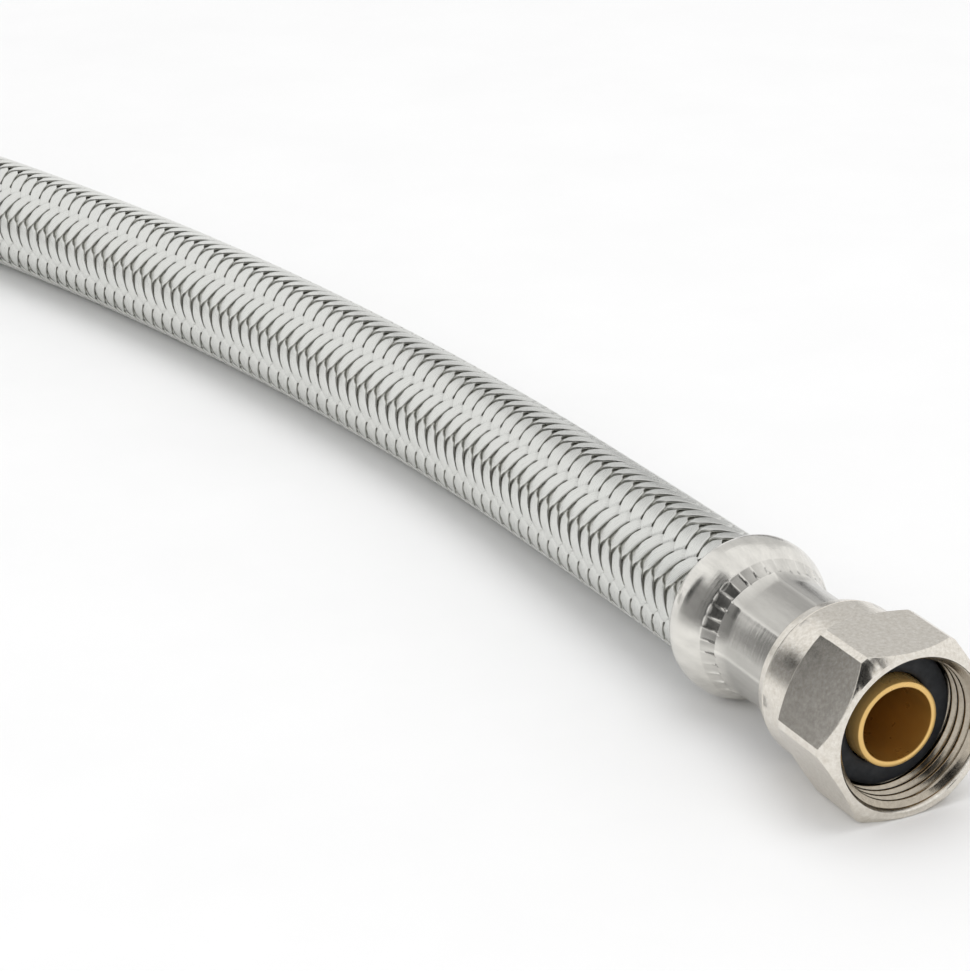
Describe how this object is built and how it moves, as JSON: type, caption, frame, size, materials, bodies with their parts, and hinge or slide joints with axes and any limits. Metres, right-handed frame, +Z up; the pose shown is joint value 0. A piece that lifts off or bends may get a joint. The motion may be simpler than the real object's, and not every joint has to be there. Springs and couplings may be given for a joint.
{
  "type": "braided stainless steel supply line",
  "caption": "Flexible water supply line: wire-braided hose with a crimped ferrule, brass insert, rubber washer and free-turning hexagon nut at each end.",
  "frame": {"origin": "middle of the near nut's lower flat, on the surface that the line lies on", "axes": "-Y out of the near nut's mouth, +Y back along the hose, +Z up; the far nut's mouth looks along -X"},
  "size_m": [0.2047, 0.2835, 0.016],
  "materials": {
    "nickel_plate": "satin nickel plate on brass",
    "stainless_sheet": "bright drawn stainless sheet",
    "braid_wire": "braided stainless wire",
    "brass": "turned brass",
    "black_rubber": "matt black rubber",
    "liner_rubber": "extruded rubber tube"
  },
  "bodies": {
    "hose": {"braid_sleeve": "braid_wire", "inner_tube": "liner_rubber", "near_washer": "black_rubber", "near_insert": "brass", "near_ferrule": "stainless_sheet", "far_washer": "black_rubber", "far_insert": "brass", "far_ferrule": "stainless_sheet"},
    "near_nut": {"near_swivel_nut": "nickel_plate"},
    "far_nut": {"far_swivel_nut": "nickel_plate"}
  },
  "joints": [
    {"name": "near_nut_swivel", "type": "hinge", "parent": "hose", "child": "near_nut", "pos_m": [0, 0, 0.008], "axis": [0, -1, 0], "continuous": true},
    {"name": "far_nut_swivel", "type": "hinge", "parent": "hose", "child": "far_nut", "pos_m": [-0.19143, 0.27013, 0.008], "axis": [-1, 0, 0], "continuous": true}
  ]
}
